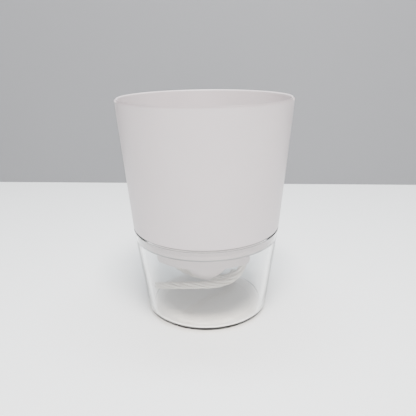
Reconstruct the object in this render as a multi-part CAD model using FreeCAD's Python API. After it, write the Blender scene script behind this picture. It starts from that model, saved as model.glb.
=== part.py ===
"""Self-watering planter: a white pot that stands in a clear glass water reservoir.

Two soft cords carry water up to the soil. Each hangs from a knot on the pot's floor and lies
across the reservoir. A perforated plate keeps the soil off the floor. The frame's origin is the
centre of the surface that the glass stands on, +Z is up and all sizes are in millimetres.
"""

import math
import os

import FreeCAD, Part

Vector = FreeCAD.Vector

# ---------------------------------------------------------------- driving dimensions
HEIGHT = 170.0
RIM_RADIUS = 65.0
SHOULDER_RADIUS = 57.3
BASE_RADIUS = 48.6

# glass reservoir
GLASS_HEIGHT = 72.1
GLASS_WALL = 3.2
GLASS_WALL_AT_FLOOR = 4.2
GLASS_FLOOR = 4.5
GLASS_HEEL_RADIUS = 0.9
GLASS_INNER_HEEL_RADIUS = 2.5
GLASS_RIM_WALL = 1.5
GLASS_RIM_ROUND = 0.6
LEDGE_HEIGHT = 63.6
LEDGE_ROUND = 0.4
FOOT_RING_INNER_RADIUS = 38.0
PUNT_DEPTH = 1.0
PUNT_ROUND = 80.0
PUNT_EDGE_ROUND = 10.0

# silicone seat ring, held on a spigot under the pot and pressed on the glass's ledge
RING_THICKNESS = 0.9
RING_WIDTH = 1.5
RING_ROUND = 0.2
RUNNING_GAP = 0.3

# pot
POT_WALL = 2.2
MOULDED_EDGE_ROUND = 0.3
SHOULDER_GAP = 0.6
SHOULDER_ROUND = 0.6
SHOULDER_STEP_INSIDE = 0.2
SHOULDER_ROUND_INSIDE = 2.0
NECK_ROUND = 0.2
NECK_ROUND_INSIDE = 0.6
FLOOR_FILLET = 1.0
BEAD_HEIGHT = 2.8
BEAD_STEP = 0.25
BEAD_ROUND = 0.1
SPIGOT_WIDTH = 1.6
SPIGOT_DEPTH = 0.7
FUNNEL_MOUTH_RADIUS = 18.5
FUNNEL_MOUTH_FILLET = 1.5
FUNNEL_MOUTH_ROUND = 2.0
FUNNEL_CONE_RADIUS = 17.0
FUNNEL_CONE_TOP = 33.0
FUNNEL_CONE_ROUND = 8.0
FUNNEL_CONE_ROUND_INSIDE = 6.0
FUNNEL_TIP_RADIUS = 3.4
FUNNEL_TIP_HEIGHT = 21.5
FUNNEL_TIP_ROUND = 0.8
FUNNEL_WALL = 1.8
FUNNEL_TIP_BORE = 1.6
FUNNEL_BORE_ROUND = 0.5
FOOT_RADIUS = 48.0
FOOT_WALL = 2.1
FOOT_BOTTOM = 54.0
FOOT_ARC_DEGREES = 88.5
FOOT_CORNER_ROUND = 2.5
FOOT_EDGE_ROUND = 0.6
DRAIN_HOLE_RADIUS = 1.8
DRAIN_HOLE_RING = 24.0
DRAIN_HOLES = 8

# soil plate
PLATE_THICKNESS = 2.0
PLATE_LIP_HEIGHT = 4.0
PLATE_LIP_WIDTH = 1.6
PLATE_HEEL_ROUND = 1.2
PLATE_LIP_ROUND = 0.5
PLATE_FILLET = 0.6
PLATE_SLACK = 0.5
PLATE_NOTCH_SLACK = 0.8
PLATE_HOLE_RADIUS = 1.5
PLATE_HOLE_RINGS = ((8.0, 6), (16.0, 12), (24.5, 18), (33.0, 26), (41.0, 32))

# wick cords and the knots that hold them up
CORD_DIAMETER = 6.0
WICK_HOLE_RADIUS = 3.5
WICK_OFFSET = 31.2
KNOT_RADIUS = 6.8
KNOT_HEIGHT = 10.0
KNOT_HEEL_ROUND = 2.0
KNOT_CROWN_ROUND = 4.0
ARC_SHARE = 0.45

# ---------------------------------------------------------------- sizes that follow
SHOULDER_HEIGHT = GLASS_HEIGHT + SHOULDER_GAP
TAPER = (SHOULDER_RADIUS - BASE_RADIUS) / GLASS_HEIGHT
SKIRT_BOTTOM = LEDGE_HEIGHT + RING_THICKNESS
BEAD_TOP = SKIRT_BOTTOM + BEAD_HEIGHT
FLOOR_TOP = SKIRT_BOTTOM + POT_WALL
PLATE_TOP = FLOOR_TOP + PLATE_THICKNESS
NOTCH_RADIUS = KNOT_RADIUS + PLATE_NOTCH_SLACK
CORD_RADIUS = CORD_DIAMETER / 2


def glass_outer(z):
    """The glass's outer radius at a height."""
    return BASE_RADIUS + TAPER * z


def glass_inner(z):
    """The reservoir's inner radius at a height. Its wall is thicker towards the floor."""
    share = (z - GLASS_FLOOR) / (LEDGE_HEIGHT - GLASS_FLOOR)
    return glass_outer(z) - GLASS_WALL_AT_FLOOR + (GLASS_WALL_AT_FLOOR - GLASS_WALL) * share


def rim_inner(z):
    """The inner radius of the thin rim above the ledge, which takes the pot's skirt."""
    return glass_outer(z) - GLASS_RIM_WALL


def skirt_outer(z):
    """The skirt follows the taper of the glass rim."""
    return rim_inner(z) - RUNNING_GAP


# Wick routes: x, y and z of each corner. The right cord bends over in front of the funnel and
# leans on the left wall. The left cord slants behind the funnel down to the back of the floor.
RIGHT_ROUTE = (
    (WICK_OFFSET, 0.0, FLOOR_TOP),
    (WICK_OFFSET, 0.0, 51.5),
    (WICK_OFFSET + 0.1, -0.6, 38.0),
    (27.6, -2.5, 29.4),
    (20.6, -5.2, 23.5),
    (8.4, -7.9, 20.3),
    (-7.4, -8.8, 19.9),
    (-23.6, -6.3, 17.9),
    (-36.8, -3.9, 15.9),
    (-44.6, -3.1, 15.2),
)
LEFT_ROUTE = (
    (-WICK_OFFSET, 0.0, FLOOR_TOP),
    (-WICK_OFFSET, 0.0, 57.0),
    (-WICK_OFFSET + 0.2, 0.8, 47.5),
    (-26.1, 3.6, 37.2),
    (-15.4, 8.6, 27.8),
    (-3.0, 13.0, 20.3),
    (8.5, 16.8, 15.3),
    (16.2, 21.8, 12.0),
    (21.0, 29.6, 9.8),
    (22.6, 36.2, 9.2),
)


# ---------------------------------------------------------------- helpers
def revolved(outline):
    """A solid of revolution about Z. The outline is (radius, height) points in order, and a
    third value on a point rounds that corner with an arc of that radius."""
    count = len(outline)
    starts, ends, edges = [], [], []
    for index, point in enumerate(outline):
        corner = Vector(point[0], 0, point[1])
        radius = point[2] if len(point) > 2 else 0.0
        if radius <= 0:
            starts.append(corner)
            ends.append(corner)
            edges.append(None)
            continue
        before = outline[index - 1]
        after = outline[(index + 1) % count]
        into = (Vector(before[0], 0, before[1]) - corner).normalize()
        away = (Vector(after[0], 0, after[1]) - corner).normalize()
        half = into.getAngle(away) / 2
        reach = radius / math.tan(half)
        start = corner + into * reach
        end = corner + away * reach
        centre = corner + (into + away).normalize() * (radius / math.sin(half))
        middle = centre + (corner - centre).normalize() * radius
        starts.append(start)
        ends.append(end)
        edges.append(Part.Arc(start, middle, end).toShape())
    loop = []
    for index in range(count):
        if edges[index] is not None:
            loop.append(edges[index])
        following = starts[(index + 1) % count]
        if ends[index].distanceToPoint(following) > 1e-7:
            loop.append(Part.LineSegment(ends[index], following).toShape())
    face = Part.Face(Part.Wire(loop))
    return face.revolve(Vector(0, 0, 0), Vector(0, 0, 1), 360)


def post(x, y, radius, bottom, top):
    """An upright cylinder."""
    return Part.makeCylinder(radius, top - bottom, Vector(x, y, bottom))


def ring_of_posts(ring_radius, count, radius, bottom, top, turn=0.0):
    """Upright cylinders evenly spaced on a circle about Z."""
    posts = []
    for index in range(count):
        angle = turn + 2 * math.pi * index / count
        posts.append(post(ring_radius * math.cos(angle), ring_radius * math.sin(angle), radius, bottom, top))
    return posts


def cord_tube(route, name):
    """A tube along straight runs joined by tangent arcs, each as large as its two runs allow."""
    points = [Vector(*point) for point in route]
    edges, radii, here = [], [], points[0]
    for index in range(1, len(points) - 1):
        corner = points[index]
        into = points[index - 1] - corner
        away = points[index + 1] - corner
        shorter = min(into.Length, away.Length)
        into.normalize()
        away.normalize()
        half_turn = (math.pi - into.getAngle(away)) / 2
        reach = ARC_SHARE * shorter
        radii.append(reach / math.tan(half_turn))
        start, end = corner + into * reach, corner + away * reach
        middle_way = (into + away).normalize()
        centre = corner + middle_way * math.hypot(radii[-1], reach)
        middle = centre - middle_way * radii[-1]
        edges.append(Part.LineSegment(here, start).toShape())
        edges.append(Part.Arc(start, middle, end).toShape())
        here = end
    edges.append(Part.LineSegment(here, points[-1]).toShape())
    path = Part.Wire(edges)
    section = Part.Wire(Part.makeCircle(CORD_RADIUS, points[0], points[1] - points[0]))
    tube = path.makePipeShell([section], True, False)
    expected = math.pi * CORD_RADIUS**2 * path.Length
    print(f"{name}: {path.Length:.1f} mm long, radii {[round(r, 1) for r in radii]},"
          f" volume {tube.Volume / expected:.4f} of section times length")
    return tube


# ---------------------------------------------------------------- sub-parts
def reservoir_glass():
    """A tapered tumbler with a ledge under its rim and a thick floor, domed a little underneath."""
    return revolved((
        (0, PUNT_DEPTH),
        (FOOT_RING_INNER_RADIUS / 2, 0.8 * PUNT_DEPTH, PUNT_ROUND),
        (FOOT_RING_INNER_RADIUS, 0, PUNT_EDGE_ROUND),
        (BASE_RADIUS, 0, GLASS_HEEL_RADIUS),
        (SHOULDER_RADIUS, GLASS_HEIGHT, GLASS_RIM_ROUND),
        (rim_inner(GLASS_HEIGHT), GLASS_HEIGHT, GLASS_RIM_ROUND),
        (rim_inner(LEDGE_HEIGHT), LEDGE_HEIGHT, LEDGE_ROUND),
        (glass_inner(LEDGE_HEIGHT), LEDGE_HEIGHT, LEDGE_ROUND),
        (glass_inner(GLASS_FLOOR), GLASS_FLOOR, GLASS_INNER_HEEL_RADIUS),
        (0, GLASS_FLOOR),
    ))


def seat_ring():
    """The soft ring that the pot stands on: it lies on the ledge inside the glass rim."""
    outside = rim_inner(LEDGE_HEIGHT) - RUNNING_GAP - RING_ROUND
    inside = outside - RING_WIDTH
    return revolved((
        (inside, SKIRT_BOTTOM, RING_ROUND),
        (inside, LEDGE_HEIGHT, RING_ROUND),
        (outside, LEDGE_HEIGHT, RING_ROUND),
        (outside, SKIRT_BOTTOM, RING_ROUND),
    ))


def foot_arcs():
    """Two arcs of wall under the floor. Water and the cords pass through the gaps between them."""
    ring = revolved((
        (FOOT_RADIUS - FOOT_WALL, FOOT_BOTTOM),
        (FOOT_RADIUS, FOOT_BOTTOM),
        (FOOT_RADIUS, SKIRT_BOTTOM + FOOT_EDGE_ROUND),
        (FOOT_RADIUS - FOOT_WALL, SKIRT_BOTTOM + FOOT_EDGE_ROUND),
    ))
    half_gap = math.radians(90 - FOOT_ARC_DEGREES / 2)
    reach = 2 * FOOT_RADIUS
    gaps = []
    for side in (-1, 1):
        corner = Vector(side * reach * math.cos(half_gap), reach * math.sin(half_gap), FOOT_BOTTOM - 1)
        mirrored = Vector(corner.x, -corner.y, corner.z)
        apex = Vector(0, 0, corner.z)
        face = Part.Face(Part.makePolygon([apex, mirrored, corner, apex]))
        gaps.append(face.extrude(Vector(0, 0, SKIRT_BOTTOM - FOOT_BOTTOM + 3)))
    arcs = ring.cut(Part.makeCompound(gaps))

    def low(edge):
        return all(vertex.Z < FOOT_BOTTOM + 0.01 for vertex in edge.Vertexes)

    ends = [edge for edge in arcs.Edges if low(edge) and isinstance(edge.Curve, Part.Line)]
    arcs = arcs.makeFillet(FOOT_CORNER_ROUND, ends)
    return arcs


def planter_pot():
    """One moulding: tapered wall, shoulder, skirt with a bead, floor, funnel, spigot and foot."""
    rim_round = POT_WALL / 2 - 0.05
    spigot = rim_inner(LEDGE_HEIGHT) - RING_WIDTH - RING_ROUND - 2 * RUNNING_GAP
    neck = skirt_outer(SHOULDER_HEIGHT) - BEAD_STEP
    shoulder_inside = SHOULDER_RADIUS - POT_WALL + SHOULDER_STEP_INSIDE
    cone_inside = FUNNEL_CONE_RADIUS - FUNNEL_WALL
    pot = revolved((
        (FUNNEL_TIP_RADIUS, FUNNEL_TIP_HEIGHT, FUNNEL_TIP_ROUND),
        (FUNNEL_CONE_RADIUS, FUNNEL_CONE_TOP, FUNNEL_CONE_ROUND),
        (FUNNEL_MOUTH_RADIUS, SKIRT_BOTTOM, FUNNEL_MOUTH_FILLET),
        (spigot - SPIGOT_WIDTH, SKIRT_BOTTOM, MOULDED_EDGE_ROUND),
        (spigot - SPIGOT_WIDTH, SKIRT_BOTTOM - SPIGOT_DEPTH, MOULDED_EDGE_ROUND),
        (spigot, SKIRT_BOTTOM - SPIGOT_DEPTH, MOULDED_EDGE_ROUND),
        (spigot, SKIRT_BOTTOM),
        (skirt_outer(SKIRT_BOTTOM), SKIRT_BOTTOM, MOULDED_EDGE_ROUND),
        (skirt_outer(BEAD_TOP), BEAD_TOP, BEAD_ROUND),
        (skirt_outer(BEAD_TOP) - BEAD_STEP, BEAD_TOP + BEAD_STEP, NECK_ROUND),
        (neck, SHOULDER_HEIGHT, NECK_ROUND),
        (SHOULDER_RADIUS, SHOULDER_HEIGHT, SHOULDER_ROUND),
        (RIM_RADIUS, HEIGHT, rim_round),
        (RIM_RADIUS - POT_WALL, HEIGHT, rim_round),
        (shoulder_inside, SHOULDER_HEIGHT + POT_WALL, SHOULDER_ROUND_INSIDE),
        (neck - POT_WALL, SHOULDER_HEIGHT + POT_WALL, NECK_ROUND_INSIDE),
        (skirt_outer(SKIRT_BOTTOM) - POT_WALL, FLOOR_TOP, FLOOR_FILLET),
        (FUNNEL_MOUTH_RADIUS - FUNNEL_WALL, FLOOR_TOP, FUNNEL_MOUTH_ROUND),
        (cone_inside, FUNNEL_CONE_TOP + FUNNEL_WALL / 3, FUNNEL_CONE_ROUND_INSIDE),
        (FUNNEL_TIP_BORE, FUNNEL_TIP_HEIGHT + FUNNEL_WALL, FUNNEL_BORE_ROUND),
        (FUNNEL_TIP_BORE, FUNNEL_TIP_HEIGHT, MOULDED_EDGE_ROUND),
    ))
    pot = pot.fuse(foot_arcs()).removeSplitter()
    below, above = SKIRT_BOTTOM - 1, FLOOR_TOP + 1
    holes = [post(side * WICK_OFFSET, 0, WICK_HOLE_RADIUS, below, above) for side in (-1, 1)]
    turn = math.pi / DRAIN_HOLES
    holes += ring_of_posts(DRAIN_HOLE_RING, DRAIN_HOLES, DRAIN_HOLE_RADIUS, below, above, turn)
    return pot.cut(Part.makeCompound(holes))


def clear_of_notches(x, y):
    """Whether a hole in the soil plate leaves a full wall between itself and both notches.
    A notch runs from its wick straight out to the edge, so past the wick only y counts."""
    away = math.hypot(min(0.0, abs(x) - WICK_OFFSET), y)
    return away > NOTCH_RADIUS + PLATE_HOLE_RADIUS + PLATE_THICKNESS


def soil_plate():
    """A perforated plate with an upstanding lip. Its notches let it lift off over the knots."""
    outside = skirt_outer(SKIRT_BOTTOM) - POT_WALL - PLATE_SLACK
    lip_top = FLOOR_TOP + PLATE_LIP_HEIGHT
    lip_inside = outside - PLATE_LIP_WIDTH
    plate = revolved((
        (0, FLOOR_TOP),
        (outside, FLOOR_TOP, PLATE_HEEL_ROUND),
        (outside, lip_top, PLATE_LIP_ROUND),
        (lip_inside, lip_top, PLATE_LIP_ROUND),
        (lip_inside, PLATE_TOP, PLATE_FILLET),
        (0, PLATE_TOP),
    ))
    below, above = FLOOR_TOP - 1, lip_top + 1
    cuts = []
    for side in (-1, 1):
        cuts.append(post(side * WICK_OFFSET, 0, NOTCH_RADIUS, below, above))
        slot_start = min(side * WICK_OFFSET, side * (outside + 1))
        slot_length = outside + 1 - WICK_OFFSET
        start = Vector(slot_start, -NOTCH_RADIUS, below)
        cuts.append(Part.makeBox(slot_length, 2 * NOTCH_RADIUS, above - below, start))
    for ring_radius, count in PLATE_HOLE_RINGS:
        for hole in ring_of_posts(ring_radius, count, PLATE_HOLE_RADIUS, below, above):
            centre = hole.BoundBox.Center
            if clear_of_notches(centre.x, centre.y):
                cuts.append(hole)
    return plate.cut(Part.makeCompound(cuts))


def wick_knot(side):
    """The bulk of the stopper knot that holds a cord up on the pot's floor."""
    knot = revolved((
        (0, FLOOR_TOP),
        (KNOT_RADIUS, FLOOR_TOP, KNOT_HEEL_ROUND),
        (KNOT_RADIUS, FLOOR_TOP + KNOT_HEIGHT, KNOT_CROWN_ROUND),
        (0, FLOOR_TOP + KNOT_HEIGHT),
    ))
    knot.translate(Vector(side * WICK_OFFSET, 0, 0))
    return knot


PARTS = {
    "reservoir_glass": reservoir_glass,
    "seat_ring": seat_ring,
    "planter_pot": planter_pot,
    "soil_plate": soil_plate,
    "wick_knot_right": lambda: wick_knot(1),
    "wick_knot_left": lambda: wick_knot(-1),
    "wick_cord_right": lambda: cord_tube(RIGHT_ROUTE, "wick_cord_right"),
    "wick_cord_left": lambda: cord_tube(LEFT_ROUTE, "wick_cord_left"),
}


def main():
    os.makedirs("parts", exist_ok=True)
    for name, make in PARTS.items():
        shape = make()
        shape.exportStep(f"parts/{name}.step")
        box = shape.BoundBox
        print(f"{name}: valid {shape.isValid()}, {len(shape.Solids)} solid(s), {shape.Volume / 1000:.2f} cm3,"
              f" z {box.ZMin:.2f} to {box.ZMax:.2f}")


main()
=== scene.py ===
import math

import bmesh
import bpy
from mathutils import Matrix, Vector


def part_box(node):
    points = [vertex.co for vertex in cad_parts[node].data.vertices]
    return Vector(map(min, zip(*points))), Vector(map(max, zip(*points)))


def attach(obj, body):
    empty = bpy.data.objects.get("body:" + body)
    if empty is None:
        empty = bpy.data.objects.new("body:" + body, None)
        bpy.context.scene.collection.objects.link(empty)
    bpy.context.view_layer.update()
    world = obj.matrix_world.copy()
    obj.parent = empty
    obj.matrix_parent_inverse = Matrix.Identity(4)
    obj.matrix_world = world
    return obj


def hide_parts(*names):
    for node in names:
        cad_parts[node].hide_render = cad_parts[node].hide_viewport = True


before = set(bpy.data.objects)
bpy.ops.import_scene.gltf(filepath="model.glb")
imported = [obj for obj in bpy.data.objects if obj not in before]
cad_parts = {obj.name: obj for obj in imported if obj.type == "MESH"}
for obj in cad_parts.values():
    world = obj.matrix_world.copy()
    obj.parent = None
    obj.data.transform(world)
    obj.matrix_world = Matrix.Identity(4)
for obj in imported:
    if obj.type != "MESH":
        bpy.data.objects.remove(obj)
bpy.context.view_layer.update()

bl_info = {
    "name": "Self-watering planter",
    "version": (1, 0, 0),
    "blender": (4, 5, 0),
    "location": "View3D > Sidebar > Planter",
    "description": "White pot on a clear glass water reservoir, with two laid cotton wicks",
    "category": "Object",
}

MM = 0.001
POT_LOW, POT_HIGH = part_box("planter_pot")
_, GLASS_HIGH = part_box("reservoir_glass")
RING_LOW, RING_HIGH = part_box("seat_ring")
PLATE_LOW, PLATE_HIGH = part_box("soil_plate")
KNOT_LOW, KNOT_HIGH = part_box("wick_knot_right")
LEDGE = RING_LOW.z
SKIRT_BOTTOM = RING_HIGH.z
RUNNING_GAP = 0.3 * MM
DRILL_DEPTH = 6.0 * MM
DRILLED_SHARP = 32.0  # degrees
LAMP_LOSS = (0.84, 0.815, 0.785)  # what one face of the glass lets through from a lamp

# Wick routes: the corners of each cord's line, in metres, from its knot to its free end.
RIGHT_ROUTE = (
    (0.0312, 0.0, 0.0667),
    (0.0312, 0.0, 0.0515),
    (0.0313, -0.0006, 0.0380),
    (0.0276, -0.0025, 0.0294),
    (0.0206, -0.0052, 0.0235),
    (0.0084, -0.0079, 0.0203),
    (-0.0074, -0.0088, 0.0199),
    (-0.0236, -0.0063, 0.0179),
    (-0.0368, -0.0039, 0.0159),
    (-0.0446, -0.0031, 0.0152),
)
LEFT_ROUTE = (
    (-0.0312, 0.0, 0.0667),
    (-0.0312, 0.0, 0.0545),
    (-0.0309, 0.0010, 0.0425),
    (-0.0262, 0.0040, 0.0310),
    (-0.0158, 0.0088, 0.0220),
    (-0.0034, 0.0130, 0.0160),
    (0.0085, 0.0168, 0.0124),
    (0.0163, 0.0220, 0.0104),
    (0.0211, 0.0297, 0.0094),
    (0.0226, 0.0362, 0.0092),
)


# ---------------------------------------------------------------- properties
def length(name, description, default):
    """A length in metres, shown in the scene's unit."""
    return bpy.props.FloatProperty(
        name=name, description=description, default=default, min=0.0, subtype="DISTANCE", unit="LENGTH"
    )


def colour(name, description, default):
    """A linear RGB colour."""
    return bpy.props.FloatVectorProperty(
        name=name, description=description, default=default, size=3, min=0.0, max=1.0, subtype="COLOR"
    )


class PlanterSizes(bpy.types.PropertyGroup):
    height: length("Height", "From the table to the pot's rim", POT_HIGH.z)
    rim_radius: length("Rim radius", "Outer radius of the pot's rim", 65.0 * MM)
    shoulder_radius: length("Shoulder radius", "Outer radius where the pot meets the glass", 57.3 * MM)
    base_radius: length("Base radius", "Outer radius of the glass at the table", 48.6 * MM)
    glass_height: length("Glass height", "Height of the glass rim", GLASS_HIGH.z)
    glass_wall: length("Glass wall", "Thickness of the glass wall at its ledge", 3.2 * MM)
    glass_heel: length("Glass heel", "Thickness of the glass wall at its floor", 4.2 * MM)
    glass_rim: length("Glass rim", "Thickness of the glass above its ledge", 1.5 * MM)
    glass_floor: length("Glass floor", "Height of the reservoir's floor", 4.5 * MM)
    pot_wall: length("Pot wall", "Thickness of the moulded pot", 2.2 * MM)
    foot_radius: length("Foot radius", "Outer radius of the two foot arcs", 48.0 * MM)
    foot_bottom: length("Foot height", "Height of the foot's lower edge", 54.0 * MM)
    funnel_tip: length("Funnel tip", "Height of the funnel's open tip", POT_LOW.z)
    cord_diameter: length("Cord diameter", "Diameter of the laid wick cord", 6.0 * MM)


class PlanterColours(bpy.types.PropertyGroup):
    pot: colour("Pot", "Satin white plastic", (0.64, 0.575, 0.585))
    plate: colour("Soil plate", "Matt white plastic", (0.74, 0.73, 0.72))
    ring: colour("Seat ring", "Grey silicone", (0.30, 0.30, 0.30))
    glass: colour("Glass", "Tint of the clear glass", (0.985, 0.992, 0.99))
    cotton: colour("Cotton", "Undyed cotton of the wicks", (0.80, 0.775, 0.73))
    table: colour("Table", "Plain pale floor", (0.93, 0.93, 0.93))
    backdrop: colour("Backdrop", "Plain grey backdrop", (0.24, 0.24, 0.25))


def sizes():
    return bpy.context.scene.planter_sizes


def colours():
    return bpy.context.scene.planter_colours


# ---------------------------------------------------------------- shader maths
class Value:
    """A shader socket that can be used in Python arithmetic. Each operation adds its Math node."""

    def __init__(self, shader, socket):
        self.shader = shader
        self.socket = socket

    def _math(self, operation, *terms):
        return self.shader.add("ShaderNodeMath", {"operation": operation}, dict(enumerate(terms)))

    def __add__(self, other):
        return self._math("ADD", self, other)

    def __radd__(self, other):
        return self._math("ADD", other, self)

    def __sub__(self, other):
        return self._math("SUBTRACT", self, other)

    def __rsub__(self, other):
        return self._math("SUBTRACT", other, self)

    def __mul__(self, other):
        return self._math("MULTIPLY", self, other)

    def __rmul__(self, other):
        return self._math("MULTIPLY", other, self)

    def sine(self):
        return self._math("SINE", self)

    def clamped(self, low, high):
        settings = {"clamp": True}
        inputs = {"Value": self, "From Min": low, "From Max": high}
        return self.shader.add("ShaderNodeMapRange", settings, inputs)


class Shader:
    """A material's node tree and the few ways this file adds to it."""

    def __init__(self, name):
        self.material = bpy.data.materials.new(name)
        self.material.use_nodes = True
        self.tree = self.material.node_tree
        self.tree.nodes.clear()
        self.output = self.tree.nodes.new("ShaderNodeOutputMaterial")

    def add(self, kind, settings=None, inputs=None, out=0):
        """Adds a node: its settings first, then its sockets' values or links."""
        node = self.tree.nodes.new(kind)
        for key, value in (settings or {}).items():
            setattr(node, key, value)
        for key, value in (inputs or {}).items():
            self.feed(node.inputs[key], value)
        return Value(self, node.outputs[out])

    def feed(self, socket, value):
        if isinstance(value, Value):
            self.tree.links.new(value.socket, socket)
        else:
            socket.default_value = value

    def mix(self, factor, first, second):
        """A mix of two colours. Several of the node's sockets share a name, so these go by number."""
        first, second = (shade if isinstance(shade, Value) else (*shade, 1.0) for shade in (first, second))
        inputs = {"Factor": factor, 6: first, 7: second}
        return self.add("ShaderNodeMix", {"data_type": "RGBA"}, inputs, 2)

    def place(self, scale):
        """Object coordinates, stretched."""
        coordinates = self.add("ShaderNodeTexCoord", out="Object")
        return self.add("ShaderNodeMapping", None, {"Vector": coordinates, "Scale": scale})

    def noise(self, scale, detail=3.0, stretch=(1.0, 1.0, 1.0)):
        inputs = {"Vector": self.place(stretch), "Scale": scale, "Detail": detail, "Roughness": 0.5}
        return self.add("ShaderNodeTexNoise", None, inputs, "Fac")

    def bump(self, height, distance, strength=1.0):
        inputs = {"Height": height, "Distance": distance, "Strength": strength}
        return self.add("ShaderNodeBump", None, inputs, "Normal")

    def principled(self, **inputs):
        named = {key.replace("_", " ").title(): value for key, value in inputs.items()}
        if "Ior" in named:
            named["IOR"] = named.pop("Ior")
        for key, value in named.items():
            if key.endswith("Color") and isinstance(value, tuple) and len(value) == 3:
                named[key] = (*value, 1.0)
        return self.add("ShaderNodeBsdfPrincipled", None, named)

    def finish(self, surface):
        self.feed(self.output.inputs["Surface"], surface)
        return self.material


def shaded(base, share):
    """A darker or lighter version of a colour."""
    return tuple(min(1.0, share * c) for c in base)


def moulded_plastic(name, base, roughness, grain):
    """Moulded plastic: a fine even grain, faint flow marks down the wall and slight mottling."""
    shader = Shader(name)
    mottle = shader.noise(35.0, 2.0)
    flow = shader.noise(60.0, 3.0, (1.0, 1.0, 0.08))
    fine = shader.noise(2600.0, 2.0)
    shade = shader.mix(mottle.clamped(0.35, 0.65), shaded(base, 0.985), shaded(base, 1.012))
    rough = roughness + 0.07 * (mottle - 0.5) + 0.05 * (flow - 0.5)
    skin = shader.bump(fine * 0.35 + flow * 0.65, grain, 0.35)
    return shader.finish(shader.principled(base_color=shade, roughness=rough, ior=1.49, normal=skin))


def silicone(name, base):
    """Soft silicone with a matt skin and dusty patches."""
    shader = Shader(name)
    patches = shader.noise(180.0, 4.0)
    shade = shader.mix(patches.clamped(0.3, 0.7), base, shaded(base, 1.25))
    skin = shader.bump(shader.noise(2400.0, 3.0), 0.08 * MM, 0.5)
    rough = 0.48 + 0.15 * patches
    return shader.finish(shader.principled(base_color=shade, roughness=rough, ior=1.43, normal=skin))


def clear_glass(name, tint):
    """Pressed clear glass. Lamps pass through it with a slight loss, and its faces are a little wavy."""
    shader = Shader(name)
    wave = shader.bump(shader.noise(28.0, 2.0, (1.0, 1.0, 0.35)), 0.6 * MM, 0.25)
    glass = shader.principled(base_color=tint, roughness=0.0, ior=1.5, transmission_weight=1.0, normal=wave)
    through = shader.add("ShaderNodeBsdfTransparent", None, {"Color": (*LAMP_LOSS, 1.0)})
    lamp_ray = shader.add("ShaderNodeLightPath", out="Is Shadow Ray")
    return shader.finish(shader.add("ShaderNodeMixShader", None, {0: lamp_ray, 1: glass, 2: through}))


def laid_cotton(name, base):
    """Spun cotton: fine yarns slant across each strand, with painted shade in the creases between them."""
    shader = Shader(name)
    coordinates = shader.add("ShaderNodeTexCoord", out="UV")
    parts = shader.add("ShaderNodeSeparateXYZ", None, {"Vector": coordinates})
    across = Value(shader, parts.socket.node.outputs["Y"])
    fuzz = shader.noise(900.0, 4.0)
    yarn = ((parts * 5200.0 + across * (8 * math.pi) + fuzz * 3.0).sine() + 1.0) * 0.5
    soft = shader.noise(260.0, 3.0)
    # Painted shade: the colour drops to 80% in the creases between the yarns, following the pattern that
    # also drives the bump.
    shade = shader.mix(yarn.clamped(0.0, 0.7), shaded(base, 0.8), base)
    worn = shader.mix(soft.clamped(0.3, 0.75) * 0.35, shade, shaded(base, 0.9))
    skin = shader.bump(yarn * 0.6 + fuzz * 0.4, 0.25 * MM, 0.6)
    return shader.finish(shader.principled(base_color=worn, roughness=0.9, sheen_weight=0.25, normal=skin))


def pale_surface(name, base):
    """A plain matt surface for the table or the backdrop."""
    shader = Shader(name)
    cloud = shader.noise(3.0, 2.0)
    shade = shader.mix(cloud.clamped(0.3, 0.7), shaded(base, 0.985), base)
    return shader.finish(shader.principled(base_color=shade, roughness=0.42, ior=1.3))


# ---------------------------------------------------------------- mesh helpers
def link(name, mesh, material):
    """A new object with its place in its mesh."""
    piece = bpy.data.objects.new(name, mesh)
    bpy.context.scene.collection.objects.link(piece)
    mesh.materials.clear()
    mesh.materials.append(material)
    return piece


def smoothed(mesh, sharp_degrees):
    """Smooth faces, and sharp edges only where the mesh really turns a corner."""
    mesh.shade_smooth()
    mesh.set_sharp_from_angle(angle=math.radians(sharp_degrees))
    return mesh


def mesh_from(bm, name, sharp_degrees=38.0):
    """A smoothed mesh with the faces that were made in the working mesh."""
    bmesh.ops.recalc_face_normals(bm, faces=bm.faces)
    mesh = bpy.data.meshes.new(name)
    bm.to_mesh(mesh)
    bm.free()
    return smoothed(mesh, sharp_degrees)


def rounded(outline, arc_steps):
    """Points along a closed outline of (radius, height) corners. A third value rounds a corner."""
    count = len(outline)
    points = []
    for index, corner in enumerate(outline):
        here = Vector(corner[:2])
        radius = corner[2] if len(corner) > 2 else 0.0
        if radius <= 0:
            points.append(here)
            continue
        into = (Vector(outline[index - 1][:2]) - here).normalized()
        away = (Vector(outline[(index + 1) % count][:2]) - here).normalized()
        half = into.angle(away) / 2
        centre = here + (into + away).normalized() * (radius / math.sin(half))
        start = here + into * (radius / math.tan(half)) - centre
        turn = math.pi - 2 * half
        if start.cross(away) < 0:
            turn = -turn
        for step in range(arc_steps + 1):
            angle = turn * step / arc_steps
            points.append(centre + Matrix.Rotation(angle, 2) @ start)
    return points


def supported(points, margin=0.35 * MM, longest=6.0 * MM):
    """The outline with extra points, close to the ends of each long run and evenly along it."""
    result = []
    count = len(points)
    for index, here in enumerate(points):
        result.append(here)
        ahead = points[(index + 1) % count]
        run = ahead - here
        if run.length < 4 * margin or (here.x < 1e-7 and ahead.x < 1e-7):
            continue
        steps = max(1, math.ceil((run.length - 2 * margin) / longest))
        for step in range(steps + 1):
            along = margin + (run.length - 2 * margin) * step / steps
            result.append(here + run * (along / run.length))
    return result


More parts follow.
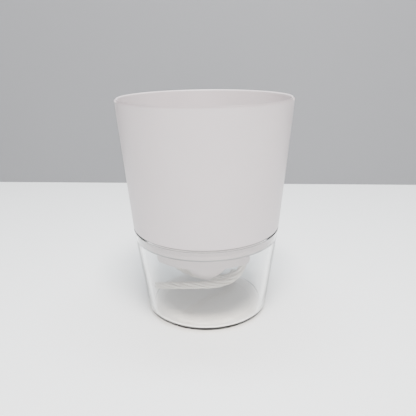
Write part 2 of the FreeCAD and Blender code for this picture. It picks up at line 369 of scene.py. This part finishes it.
def turned(name, outline, segments, arc_steps):
    """A closed mesh turned about Z from a rounded outline. Points on the axis become poles."""
    points = supported(rounded(outline, arc_steps))
    bm = bmesh.new()
    rings = []
    for point in points:
        if point.x < 1e-7:
            rings.append([bm.verts.new((0.0, 0.0, point.y))])
            continue
        ring = []
        for step in range(segments):
            angle = 2 * math.pi * step / segments
            ring.append(bm.verts.new((point.x * math.cos(angle), point.x * math.sin(angle), point.y)))
        rings.append(ring)
    for first, second in zip(rings, rings[1:] + rings[:1]):
        if len(first) == 1 and len(second) == 1:
            continue
        for step in range(segments):
            after = (step + 1) % segments
            if len(first) == 1:
                bm.faces.new((first[0], second[step], second[after]))
            elif len(second) == 1:
                bm.faces.new((first[step], second[0], first[after]))
            else:
                bm.faces.new((first[step], second[step], second[after], first[after]))
    return mesh_from(bm, name)


def plain_mesh(piece, name):
    """The evaluated object's mesh with its modifiers applied."""
    graph = bpy.context.evaluated_depsgraph_get()
    mesh = bpy.data.meshes.new_from_object(piece.evaluated_get(graph), depsgraph=graph)
    mesh.name = name
    return mesh


def remove(*pieces):
    for piece in pieces:
        bpy.data.objects.remove(piece, do_unlink=True)


def ring_centres(ring_radius, count, height, turn=0.0):
    """Points evenly spaced on a circle about Z."""
    angles = [turn + 2 * math.pi * index / count for index in range(count)]
    return [Vector((ring_radius * math.cos(a), ring_radius * math.sin(a), height)) for a in angles]


# ---------------------------------------------------------------- perforations
def perforation_tree(material):
    """Geometry Nodes that drill a round hole through a plate at each vertex of another mesh."""
    tree = bpy.data.node_groups.new("Perforations", "GeometryNodeTree")
    face = tree.interface
    face.new_socket("Geometry", in_out="INPUT", socket_type="NodeSocketGeometry")
    face.new_socket("Hole centres", in_out="INPUT", socket_type="NodeSocketObject")
    for name in ("Hole radius", "Hole depth"):
        face.new_socket(name, in_out="INPUT", socket_type="NodeSocketFloat")
    face.new_socket("Geometry", in_out="OUTPUT", socket_type="NodeSocketGeometry")
    nodes, links = tree.nodes, tree.links
    given = nodes.new("NodeGroupInput")
    centres = nodes.new("GeometryNodeObjectInfo")
    drill = nodes.new("GeometryNodeMeshCylinder")
    drill.inputs["Vertices"].default_value = 24
    on_points = nodes.new("GeometryNodeInstanceOnPoints")
    realize = nodes.new("GeometryNodeRealizeInstances")
    cut = nodes.new("GeometryNodeMeshBoolean")
    cut.operation = "DIFFERENCE"
    cut.solver = "EXACT"
    paint = nodes.new("GeometryNodeSetMaterial")
    paint.inputs["Material"].default_value = material
    whole = nodes.new("GeometryNodeRealizeInstances")
    result = nodes.new("NodeGroupOutput")
    links.new(given.outputs["Hole centres"], centres.inputs["Object"])
    links.new(given.outputs["Hole radius"], drill.inputs["Radius"])
    links.new(given.outputs["Hole depth"], drill.inputs["Depth"])
    links.new(centres.outputs["Geometry"], on_points.inputs["Points"])
    links.new(drill.outputs["Mesh"], on_points.inputs["Instance"])
    links.new(on_points.outputs["Instances"], realize.inputs["Geometry"])
    links.new(given.outputs["Geometry"], cut.inputs["Mesh 1"])
    links.new(realize.outputs["Geometry"], cut.inputs["Mesh 2"])
    links.new(cut.outputs["Mesh"], whole.inputs["Geometry"])
    links.new(whole.outputs["Geometry"], paint.inputs["Geometry"])
    links.new(paint.outputs["Geometry"], result.inputs["Geometry"])
    return tree


def perforated(piece, centres, radius, depth, material):
    """The piece with a hole at each centre, as a plain mesh on the same object."""
    marks = bpy.data.meshes.new("hole_centres")
    marks.from_pydata([tuple(c) for c in centres], [], [])
    marker = bpy.data.objects.new("hole_centres", marks)
    bpy.context.scene.collection.objects.link(marker)
    modifier = piece.modifiers.new("Perforations", "NODES")
    tree = perforation_tree(material)
    values = {"Hole centres": marker, "Hole radius": radius, "Hole depth": depth}
    modifier.node_group = tree
    for item in tree.interface.items_tree:
        if item.in_out == "INPUT" and item.name in values:
            modifier[item.identifier] = values[item.name]
    mesh = plain_mesh(piece, piece.name)
    piece.modifiers.clear()
    piece.data = mesh
    remove(marker)
    return piece


# ---------------------------------------------------------------- profiles
def glass_outer(z):
    s = sizes()
    return s.base_radius + (s.shoulder_radius - s.base_radius) * z / s.glass_height


def glass_inner(z):
    """The inner radius under the ledge. The wall thickens towards the floor."""
    s = sizes()
    share = (z - s.glass_floor) / (LEDGE - s.glass_floor)
    return glass_outer(z) - s.glass_heel + (s.glass_heel - s.glass_wall) * share


def rim_inner(z):
    """The inner radius of the thin rim above the ledge."""
    return glass_outer(z) - sizes().glass_rim


def skirt_outer(z):
    """The pot's skirt follows the taper of the glass rim, clear of it."""
    return rim_inner(z) - RUNNING_GAP


class PLANTER_OT_glass(bpy.types.Operator):
    """Make the clear glass reservoir"""

    bl_idname = "planter.glass"
    bl_label = "Glass reservoir"

    FOOT_RING = 38.0 * MM
    DOME = 1.0 * MM
    DOME_ROUND = 80.0 * MM
    FOOT_RING_ROUND = 10.0 * MM
    HEEL_ROUND = 0.55 * MM
    HEEL_ROUND_INSIDE = 2.5 * MM
    RIM_ROUND = 0.6 * MM
    LEDGE_ROUND = 0.4 * MM

    def execute(self, context):
        s = sizes()
        outline = (
            (0.0, self.DOME),
            (self.FOOT_RING / 2, 0.8 * self.DOME, self.DOME_ROUND),
            (self.FOOT_RING, 0.0, self.FOOT_RING_ROUND),
            (s.base_radius, 0.0, self.HEEL_ROUND),
            (s.shoulder_radius, s.glass_height, self.RIM_ROUND),
            (rim_inner(s.glass_height), s.glass_height, self.RIM_ROUND),
            (rim_inner(LEDGE), LEDGE, self.LEDGE_ROUND),
            (glass_inner(LEDGE), LEDGE, self.LEDGE_ROUND),
            (glass_inner(s.glass_floor), s.glass_floor, self.HEEL_ROUND_INSIDE),
            (0.0, s.glass_floor),
        )
        mesh = turned("glass_reservoir", outline, 256, 12)
        piece = link("glass_reservoir", mesh, clear_glass("clear_glass", tuple(colours().glass)))
        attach(piece, "reservoir")
        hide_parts("reservoir_glass")
        return {"FINISHED"}


class PLANTER_OT_ring(bpy.types.Operator):
    """Make the soft seat ring between the glass's ledge and the pot"""

    bl_idname = "planter.ring"
    bl_label = "Seat ring"

    WIDTH = 1.5 * MM
    EDGE = 0.2 * MM

    def execute(self, context):
        edge = self.EDGE
        outside = rim_inner(LEDGE) - RUNNING_GAP - edge
        inside = outside - self.WIDTH
        outline = (
            (inside, RING_HIGH.z, edge),
            (inside, RING_LOW.z, edge),
            (outside, RING_LOW.z, edge),
            (outside, RING_HIGH.z, edge),
        )
        mesh = turned("seat_ring_soft", outline, 192, 4)
        piece = link("seat_ring_soft", mesh, silicone("seat_silicone", tuple(colours().ring)))
        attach(piece, "ring")
        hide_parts("seat_ring")
        return {"FINISHED"}


class PLANTER_OT_pot(bpy.types.Operator):
    """Make the white pot with its skirt, floor, funnel and foot arcs"""

    bl_idname = "planter.pot"
    bl_label = "Pot"

    ARC_DEGREES = 88.5
    FOOT_WALL = 2.1 * MM
    CORNER = 2.5 * MM
    CORNER_STEPS = 8
    ARC_STEPS = 40
    EDGE = 0.55 * MM
    FOOT_OVERLAP = 0.6 * MM
    BEAD_HEIGHT = 2.8 * MM
    BEAD_STEP = 0.25 * MM
    SHOULDER_GAP = 0.6 * MM
    SPIGOT_WIDTH = 1.6 * MM
    SPIGOT_DEPTH = 0.7 * MM
    GROOVE_HEIGHT = 0.9 * MM
    GROOVE_DEPTH = 1.0 * MM
    SHOULDER_ROUND = 0.6 * MM
    SHOULDER_FILLET = 2.0 * MM
    SHOULDER_STEP_INSIDE = 0.2 * MM
    BEAD_ROUND = 0.1 * MM
    NECK_ROUND_INSIDE = 0.6 * MM
    FLOOR_FILLET = 1.0 * MM
    RIM_FLAT = 0.05 * MM
    MOULDED_EDGE = 0.3 * MM
    NECK_EDGE = 0.2 * MM
    FUNNEL_MOUTH = 18.5 * MM
    FUNNEL_CONE = 17.0 * MM
    FUNNEL_CONE_RISE = 11.5 * MM
    FUNNEL_TIP = 3.4 * MM
    FUNNEL_WALL = 1.8 * MM
    FUNNEL_BORE = 1.6 * MM
    FUNNEL_TIP_ROUND = 0.8 * MM
    FUNNEL_CONE_ROUND = 8.0 * MM
    FUNNEL_CONE_FILLET = 6.0 * MM
    FUNNEL_MOUTH_ROUND = 2.0 * MM
    FUNNEL_MOUTH_FILLET = 1.5 * MM
    FUNNEL_BORE_ROUND = 0.5 * MM
    DRAIN_RING = 24.0 * MM
    DRAINS = 8
    DRAIN = 1.8 * MM
    WICK_HOLE = 3.5 * MM

    def pot_outline(self):
        s = sizes()
        wall, funnel_wall = s.pot_wall, self.FUNNEL_WALL
        under = SKIRT_BOTTOM
        floor_top = under + wall
        shoulder = s.glass_height + self.SHOULDER_GAP
        bead_top = under + self.BEAD_HEIGHT
        above_bead = bead_top + self.BEAD_STEP
        neck = skirt_outer(shoulder) - self.BEAD_STEP
        groove = shoulder - self.GROOVE_HEIGHT
        edge, moulded = self.NECK_EDGE, self.MOULDED_EDGE
        spigot = rim_inner(LEDGE) - PLANTER_OT_ring.WIDTH - 2 * RUNNING_GAP - PLANTER_OT_ring.EDGE
        spigot_bottom = under - self.SPIGOT_DEPTH
        rim_round = wall / 2 - self.RIM_FLAT
        cone_top = s.funnel_tip + self.FUNNEL_CONE_RISE
        return (
            (self.FUNNEL_TIP, s.funnel_tip, self.FUNNEL_TIP_ROUND),
            (self.FUNNEL_CONE, cone_top, self.FUNNEL_CONE_ROUND),
            (self.FUNNEL_MOUTH, under, self.FUNNEL_MOUTH_FILLET),
            (spigot - self.SPIGOT_WIDTH, under, moulded),
            (spigot - self.SPIGOT_WIDTH, spigot_bottom, moulded),
            (spigot, spigot_bottom, moulded),
            (spigot, under),
            (skirt_outer(under), under, moulded),
            (skirt_outer(bead_top), bead_top, self.BEAD_ROUND),
            (skirt_outer(bead_top) - self.BEAD_STEP, above_bead, edge),
            (neck, groove, edge),
            (neck - self.GROOVE_DEPTH, groove, edge),
            (neck - self.GROOVE_DEPTH, shoulder, edge),
            (s.shoulder_radius, shoulder, self.SHOULDER_ROUND),
            (s.rim_radius, s.height, rim_round),
            (s.rim_radius - wall, s.height, rim_round),
            (s.shoulder_radius - wall + self.SHOULDER_STEP_INSIDE, shoulder + wall, self.SHOULDER_FILLET),
            (neck - wall, shoulder + wall, self.NECK_ROUND_INSIDE),
            (skirt_outer(under) - wall, floor_top, self.FLOOR_FILLET),
            (self.FUNNEL_MOUTH - funnel_wall, floor_top, self.FUNNEL_MOUTH_ROUND),
            (self.FUNNEL_CONE - funnel_wall, cone_top + funnel_wall / 3, self.FUNNEL_CONE_FILLET),
            (self.FUNNEL_BORE, s.funnel_tip + funnel_wall, self.FUNNEL_BORE_ROUND),
            (self.FUNNEL_BORE, s.funnel_tip, moulded),
        )

    def foot_stations(self, arc_length):
        """Places along a foot arc, measured from its middle, closer together at its rounded ends."""
        corner, ends, steps = self.CORNER, self.CORNER_STEPS, self.ARC_STEPS
        near_end = [corner * (1 - math.cos(math.pi / 2 * k / ends)) for k in range(ends + 1)]
        middle = [corner + (arc_length - corner) * k / steps for k in range(1, steps + 1)]
        along = near_end + middle
        return [-arc_length + d for d in along] + [arc_length - d for d in reversed(along[:-1])]

    def corner_lift(self, from_end):
        """How far the lower edge rises at a distance from the arc's end."""
        if from_end >= self.CORNER:
            return 0.0
        return self.CORNER - math.sqrt(max(0.0, self.CORNER**2 - (self.CORNER - from_end) ** 2))

    def foot_arc(self, facing):
        """One arc of the foot: a rounded wall section swept about Z, its lower corners rounded."""
        s = sizes()
        outer, inner = s.foot_radius, s.foot_radius - self.FOOT_WALL
        top = SKIRT_BOTTOM + self.FOOT_OVERLAP
        arc_length = outer * math.radians(self.ARC_DEGREES / 2)
        bm = bmesh.new()
        rows = []
        for station in self.foot_stations(arc_length):
            bottom = s.foot_bottom + self.corner_lift(arc_length - abs(station))
            section = rounded(
                ((inner, top), (inner, bottom, self.EDGE), (outer, bottom, self.EDGE), (outer, top)), 4
            )
            angle = facing + station / outer
            rows.append([bm.verts.new((p.x * math.cos(angle), p.x * math.sin(angle), p.y)) for p in section])
        for first, second in zip(rows, rows[1:]):
            for k in range(len(first)):
                after = (k + 1) % len(first)
                bm.faces.new((first[k], first[after], second[after], second[k]))
        bm.faces.new(rows[0])
        bm.faces.new(rows[-1])
        return bm

    def execute(self, context):
        paint = moulded_plastic("white_plastic", tuple(colours().pot), 0.36, 0.06 * MM)
        piece = link("pot_body", turned("pot_body", self.pot_outline(), 192, 7), paint)
        arcs = []
        for facing in (-math.pi / 2, math.pi / 2):
            arc = link("foot_arc", mesh_from(self.foot_arc(facing), "foot_arc"), paint)
            union = piece.modifiers.new("Foot", "BOOLEAN")
            union.operation = "UNION"
            union.object = arc
            arcs.append(arc)
        mesh = plain_mesh(piece, "pot_body")
        piece.modifiers.clear()
        piece.data = mesh
        remove(*arcs)
        middle = SKIRT_BOTTOM + sizes().pot_wall / 2
        drains = ring_centres(self.DRAIN_RING, self.DRAINS, middle, math.pi / self.DRAINS)
        perforated(piece, drains, self.DRAIN, DRILL_DEPTH, paint)
        wick_holes = [Vector((x, 0.0, middle)) for x in (RIGHT_ROUTE[0][0], LEFT_ROUTE[0][0])]
        perforated(piece, wick_holes, self.WICK_HOLE, DRILL_DEPTH, paint)
        smoothed(piece.data, DRILLED_SHARP)
        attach(piece, "pot")
        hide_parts("planter_pot")
        return {"FINISHED"}


class PLANTER_OT_plate(bpy.types.Operator):
    """Make the perforated soil plate with its two notches"""

    bl_idname = "planter.plate"
    bl_label = "Soil plate"

    HOLE_RINGS = ((8.0, 6), (16.0, 12), (24.5, 18), (33.0, 26), (41.0, 32))
    THICKNESS = 2.0 * MM
    LIP = 1.6 * MM
    HOLE = 1.5 * MM
    NOTCH = 7.6 * MM
    HEEL_ROUND = 1.2 * MM
    LIP_ROUND = 0.5 * MM
    FILLET = 0.6 * MM
    CUT_MARGIN = 2.0 * MM
    NOTCH_REACH = 3.0 * MM
    NOTCH_STEPS = 24

    def notch(self, side, outside):
        """A cutter for one notch: a round end about the wick and straight sides out to the edge."""
        centre = RIGHT_ROUTE[0][0]
        far = outside + self.NOTCH_REACH
        bm = bmesh.new()
        points = [Vector((far, self.NOTCH)), Vector((centre, self.NOTCH))]
        for step in range(1, self.NOTCH_STEPS):
            angle = math.pi / 2 + math.pi * step / self.NOTCH_STEPS
            points.append(Vector((centre + self.NOTCH * math.cos(angle), self.NOTCH * math.sin(angle))))
        points += [Vector((centre, -self.NOTCH)), Vector((far, -self.NOTCH))]
        low = [bm.verts.new((side * p.x, p.y, PLATE_LOW.z - self.CUT_MARGIN)) for p in points]
        face = bm.faces.new(low)
        grown = bmesh.ops.extrude_face_region(bm, geom=[face])["geom"]
        height = PLATE_HIGH.z - PLATE_LOW.z + 2 * self.CUT_MARGIN
        bmesh.ops.translate(
            bm, vec=(0, 0, height), verts=[g for g in grown if isinstance(g, bmesh.types.BMVert)]
        )
        return mesh_from(bm, "notch")

    def clear_of_notches(self, centre):
        """Whether a hole leaves a full wall between itself and both notches."""
        away = math.hypot(min(0.0, abs(centre.x) - RIGHT_ROUTE[0][0]), centre.y)
        return away > self.NOTCH + self.HOLE + self.THICKNESS

    def execute(self, context):
        outside = PLATE_HIGH.y
        plate_top = PLATE_LOW.z + self.THICKNESS
        inside = outside - self.LIP
        outline = (
            (0.0, PLATE_LOW.z),
            (outside, PLATE_LOW.z, self.HEEL_ROUND),
            (outside, PLATE_HIGH.z, self.LIP_ROUND),
            (inside, PLATE_HIGH.z, self.LIP_ROUND),
            (inside, plate_top, self.FILLET),
            (0.0, plate_top),
        )
        paint = moulded_plastic("plate_plastic", tuple(colours().plate), 0.5, 0.08 * MM)
        piece = link("soil_plate_perforated", turned("soil_plate_perforated", outline, 144, 5), paint)
        cutters = []
        for side in (-1, 1):
            cutter = link("notch", self.notch(side, outside), paint)
            cut = piece.modifiers.new("Notch", "BOOLEAN")
            cut.operation = "DIFFERENCE"
            cut.object = cutter
            cutters.append(cutter)
        mesh = plain_mesh(piece, piece.name)
        piece.modifiers.clear()
        piece.data = mesh
        remove(*cutters)
        centres = []
        for ring_radius, count in self.HOLE_RINGS:
            holes = ring_centres(ring_radius * MM, count, PLATE_LOW.z + self.THICKNESS / 2)
            centres += [centre for centre in holes if self.clear_of_notches(centre)]
        perforated(piece, centres, self.HOLE, DRILL_DEPTH, paint)
        smoothed(piece.data, DRILLED_SHARP)
        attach(piece, "plate")
        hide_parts("soil_plate")
        return {"FINISHED"}


# ---------------------------------------------------------------- cords
def route_line(route, spacing=0.7 * MM):
    """Evenly spaced points along the smooth line whose control points are the route."""
    curve = bpy.data.curves.new("route", "CURVE")
    curve.dimensions = "3D"
    curve.resolution_u = 32
    spline = curve.splines.new("NURBS")
    spline.points.add(len(route) - 1)
    for point, place in zip(spline.points, route):
        point.co = (*place, 1.0)
    spline.order_u = 3
    spline.use_endpoint_u = True
    carrier = bpy.data.objects.new("route", curve)
    bpy.context.scene.collection.objects.link(carrier)
    mesh = plain_mesh(carrier, "route")
    dense = [v.co.copy() for v in mesh.vertices]
    remove(carrier)
    travelled = [0.0]
    for first, second in zip(dense, dense[1:]):
        travelled.append(travelled[-1] + (second - first).length)
    count = max(2, round(travelled[-1] / spacing))
    line, index = [], 0
    for step in range(count + 1):
        target = travelled[-1] * step / count
        while index < len(dense) - 2 and travelled[index + 1] < target:
            index += 1
        span = travelled[index + 1] - travelled[index]
        line.append(dense[index].lerp(dense[index + 1], (target - travelled[index]) / span))
    return line


def frames_along(line):
    """A tangent and two steady cross directions at each point of a line."""
    tangents = []
    for index in range(len(line)):
        before, after = line[max(0, index - 1)], line[min(len(line) - 1, index + 1)]
        tangents.append((after - before).normalized())
    side = tangents[0].orthogonal().normalized()
    frames = []
    for tangent in tangents:
        side = (side - tangent * side.dot(tangent)).normalized()
        frames.append((tangent, side, tangent.cross(side)))
    return frames


def add_tube(bm, line, radii, sides, uv_layer):
    """A closed tube along a line. Its UV map holds metres along it and turns around it."""
    frames = frames_along(line)
    rings, travelled, marks = [], 0.0, []
    for index, (centre, (_, side, other)) in enumerate(zip(line, frames)):
        if index:
            travelled += (centre - line[index - 1]).length
        marks.append(travelled)
        ring = []
        for step in range(sides):
            angle = 2 * math.pi * step / sides
            offset = side * math.cos(angle) + other * math.sin(angle)
            ring.append(bm.verts.new(centre + offset * radii[index]))
        rings.append(ring)
    for index in range(len(rings) - 1):
        for step in range(sides):
            after = (step + 1) % sides
            near, beyond = rings[index], rings[index + 1]
            face = bm.faces.new((near[step], near[after], beyond[after], beyond[step]))
            places = (
                (marks[index], step / sides),
                (marks[index], (step + 1) / sides),
                (marks[index + 1], (step + 1) / sides),
                (marks[index + 1], step / sides),
            )
            for loop, place in zip(face.loops, places):
                loop[uv_layer].uv = place
    for ring, centre, mark in ((rings[0], line[0], 0.0), (rings[-1], line[-1], travelled)):
        pole = bm.verts.new(centre)
        for step in range(sides):
            face = bm.faces.new((ring[step], ring[(step + 1) % sides], pole))
            for loop in face.loops:
                loop[uv_layer].uv = (mark, step / sides)


STRANDS = 5
STRAND_SIDES = 12
STRAND_PRESS = 1.04  # strands are a little thicker than their spacing, so they press together
CORE_GAP = 0.7  # in strand radii, from the core's surface to the middle of a strand
END_SHARE = 0.72  # a strand's thickness at its very end
END_ROUND = 1.2 * MM
FLARE_REACH = 4.0 * MM
ROPE_SHARP = 60.0  # degrees


def laid_rope(name, line, diameter, lay, flare):
    """Strands twisted about a core, one turn in each lay length. The far end spreads a little."""
    share = math.sin(math.pi / STRANDS)
    strand_radius = diameter / 2 * share / (1 + share) * STRAND_PRESS
    offset = diameter / 2 - strand_radius
    core_radius = offset - strand_radius * CORE_GAP
    frames = frames_along(line)
    bm = bmesh.new()
    uv_layer = bm.loops.layers.uv.new("UVMap")
    spacing = (line[1] - line[0]).length
    total = spacing * (len(line) - 1)
    from_end = [min(k, len(line) - 1 - k) * spacing for k in range(len(line))]
    grown = [min(1.0, math.sqrt(distance / END_ROUND)) for distance in from_end]
    radii = [strand_radius * (END_SHARE + (1.0 - END_SHARE) * part) for part in grown]
    for strand in range(STRANDS):
        path = []
        for index, (centre, (_, side, other)) in enumerate(zip(line, frames)):
            along = spacing * index
            angle = 2 * math.pi * (along / lay + strand / STRANDS)
            spread = 1.0 + flare * max(0.0, 1.0 - (total - along) / FLARE_REACH) ** 2
            path.append(centre + (side * math.cos(angle) + other * math.sin(angle)) * (offset * spread))
        add_tube(bm, path, radii, STRAND_SIDES, uv_layer)
    inside = line[1:-1]
    add_tube(bm, inside, [core_radius] * len(inside), STRAND_SIDES, uv_layer)
    return mesh_from(bm, name, ROPE_SHARP)


class PLANTER_OT_cords(bpy.types.Operator):
    """Make the two cotton wicks"""

    bl_idname = "planter.cords"
    bl_label = "Wick cords"

    LAY = 46.0 * MM
    FLARE = 0.25

    def execute(self, context):
        s = sizes()
        cotton = laid_cotton("cotton_cord", tuple(colours().cotton))
        for name, route in (("right", RIGHT_ROUTE), ("left", LEFT_ROUTE)):
            line = route_line(route)
            mesh = laid_rope(f"wick_{name}_laid", line, s.cord_diameter, self.LAY, self.FLARE)
            piece = link(f"wick_{name}_laid", mesh, cotton)
            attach(piece, "pot")
            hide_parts(f"wick_cord_{name}")
            real_length = sum((b - a).length for a, b in zip(line, line[1:]))
        return {"FINISHED"}


class PLANTER_OT_knots(bpy.types.Operator):
    """Tie the stopper knots that hold the wicks up on the pot's floor"""

    bl_idname = "planter.knots"
    bl_label = "Stopper knots"

    DIAMETER = 5.2 * MM
    LAY = 30.0 * MM
    FLARE = 0.3
    RADIUS = 3.9 * MM
    TURNS = 2.15
    STEPS = 44
    WOBBLE = 0.05
    COIL_LOW = 2.9 * MM
    COIL_HIGH = 2.7 * MM
    TAIL = ((0.75, -0.8 * MM), (0.35, 2.2 * MM))  # share of the last radius, height over the top
    SPACING = 0.6 * MM

    def knot_line(self, x):
        """The cord comes up through its hole, wraps round itself and ends in a short tail."""
        top = KNOT_HIGH.z
        low, high = KNOT_LOW.z + self.COIL_LOW, top - self.COIL_HIGH
        points = []
        for step in range(self.STEPS + 1):
            share = step / self.STEPS
            angle = 2 * math.pi * self.TURNS * share
            wobble = self.RADIUS * (1.0 + self.WOBBLE * math.sin(3 * angle))
            height = low + (high - low) * share
            points.append((x + wobble * math.cos(angle), wobble * math.sin(angle), height))
        last = Vector(points[-1])
        for share, rise in self.TAIL:
            points.append((x + (last.x - x) * share, last.y * share, top + rise))
        return points

    def execute(self, context):
        cotton = laid_cotton("cotton_knot", tuple(colours().cotton))
        for name, route in (("right", RIGHT_ROUTE), ("left", LEFT_ROUTE)):
            line = route_line(self.knot_line(route[0][0]), self.SPACING)
            mesh = laid_rope(f"knot_{name}_tied", line, self.DIAMETER, self.LAY, self.FLARE)
            piece = link(f"knot_{name}_tied", mesh, cotton)
            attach(piece, "pot")
            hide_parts(f"wick_knot_{name}")
        return {"FINISHED"}


# ---------------------------------------------------------------- stage
def look(name, data, place, forward, roll=0.0):
    """A camera or lamp at a place, facing along a direction and turned about it."""
    ahead = Vector(forward).normalized()
    right = ahead.cross(Vector((0, 0, 1))).normalized()
    up = right.cross(ahead)
    across = right * math.cos(roll) + up * math.sin(roll)
    upward = across.cross(ahead)
    thing = bpy.data.objects.new(name, data)
    rotation = Matrix((across, upward, -ahead)).transposed()
    thing.matrix_world = Matrix.Translation(place) @ rotation.to_4x4()
    bpy.context.scene.collection.objects.link(thing)
    return thing


class PLANTER_OT_stage(bpy.types.Operator):
    """Make the camera, the lights, the table and the backdrop"""

    bl_idname = "planter.stage"
    bl_label = "Stage"

    TURN = math.radians(4.25)
    DISTANCE = 0.334
    EYE_HEIGHT = 0.2002
    PITCH = 0.3354
    YAW = 0.0047
    ROLL = -0.0123
    LENS = 38.64
    TABLE_BACK = 0.36
    TABLE_LEVEL = 0.03 * MM
    SHEET_REACH = 3.0
    BACKDROP_SPAN = (-1.0, 2.5)
    SKY_COLOUR = (0.95, 0.97, 1.0)
    SKY_STRENGTH = 0.16

    def sheet(self, name, corners, material):
        mesh = bpy.data.meshes.new(name)
        mesh.from_pydata(corners, [], [(0, 1, 2, 3)])
        return link(name, mesh, material)

    def lamp(self, name, place, target, size, power, shade=(1.0, 1.0, 1.0)):
        light = bpy.data.lights.new(name, "AREA")
        light.shape = "RECTANGLE"
        light.size, light.size_y = size
        light.energy = power
        light.color = shade
        lamp = look(name, light, place, Vector(target) - Vector(place))
        lamp.visible_transmission = False
        return lamp

    def execute(self, context):
        camera = bpy.data.cameras.new("camera")
        camera.lens = self.LENS
        camera.clip_start = 0.01
        place = Vector((math.sin(self.TURN), -math.cos(self.TURN), 0)) * self.DISTANCE
        place.z = self.EYE_HEIGHT
        heading = self.YAW - self.TURN
        forward = (
            math.sin(heading) * math.cos(self.PITCH),
            math.cos(heading) * math.cos(self.PITCH),
            -math.sin(self.PITCH),
        )
        context.scene.camera = look("camera", camera, place, forward, self.ROLL)

        table = pale_surface("table_white", tuple(colours().table))
        reach, back, level = self.SHEET_REACH, self.TABLE_BACK, self.TABLE_LEVEL
        floor_corners = [(-reach, -reach, level), (reach, -reach, level)]
        floor_corners += [(reach, back, level), (-reach, back, level)]
        floor = self.sheet("table", floor_corners, table)
        wall_paint = pale_surface("backdrop_grey", tuple(colours().backdrop))
        low, high = self.BACKDROP_SPAN
        wall_corners = [(-reach, back, low), (reach, back, low), (reach, back, high), (-reach, back, high)]
        wall = self.sheet("backdrop", wall_corners, wall_paint)
        self.lamp("key", (0.08, -0.46, 1.25), (0, -0.03, 0.03), (0.42, 0.36), 42.0, (1.0, 0.985, 0.965))
        self.lamp("ceiling", (0.0, 0.12, 1.2), (0, 0, 0), (0.8, 0.18), 12.0, (0.80, 0.92, 1.0))
        self.lamp("front_fill", (0.2, -1.2, 0.33), (0, 0, 0.05), (0.7, 0.5), 5.0, (1.0, 0.98, 0.96))
        for side in (-1, 1):
            card = self.lamp("side_card", (side * 0.9, 0.1, 0.35), (0, 0, 0.1), (1.2, 0.7), 2.0)
            card.visible_diffuse = False
        world = bpy.data.worlds.new("studio")
        world.use_nodes = True
        sky = world.node_tree.nodes["Background"]
        sky.inputs["Color"].default_value = (*self.SKY_COLOUR, 1.0)
        sky.inputs["Strength"].default_value = self.SKY_STRENGTH
        context.scene.world = world
        return {"FINISHED"}


class PLANTER_PT_panel(bpy.types.Panel):
    """The planter's tools"""

    bl_idname = "PLANTER_PT_panel"
    bl_label = "Planter"
    bl_space_type = "VIEW_3D"
    bl_region_type = "UI"
    bl_category = "Planter"

    def draw(self, context):
        column = self.layout.column()
        for operator in OPERATORS:
            column.operator(operator.bl_idname)
        for group in (context.scene.planter_sizes, context.scene.planter_colours):
            for key in group.bl_rna.properties.keys():
                if key not in ("rna_type", "name"):
                    column.prop(group, key)


OPERATORS = (
    PLANTER_OT_stage,
    PLANTER_OT_knots,
    PLANTER_OT_cords,
    PLANTER_OT_glass,
    PLANTER_OT_ring,
    PLANTER_OT_pot,
    PLANTER_OT_plate,
)
CLASSES = (PlanterSizes, PlanterColours, *OPERATORS, PLANTER_PT_panel)


def register():
    for each in CLASSES:
        bpy.utils.register_class(each)
    bpy.types.Scene.planter_sizes = bpy.props.PointerProperty(type=PlanterSizes)
    bpy.types.Scene.planter_colours = bpy.props.PointerProperty(type=PlanterColours)


def unregister():
    del bpy.types.Scene.planter_colours
    del bpy.types.Scene.planter_sizes
    for each in reversed(CLASSES):
        bpy.utils.unregister_class(each)


def main():
    register()
    bpy.ops.planter.stage()
    bpy.ops.planter.knots()
    bpy.ops.planter.cords()
    bpy.ops.planter.glass()
    bpy.ops.planter.ring()
    bpy.ops.planter.pot()
    bpy.ops.planter.plate()


if __name__ == "__main__":
    main()
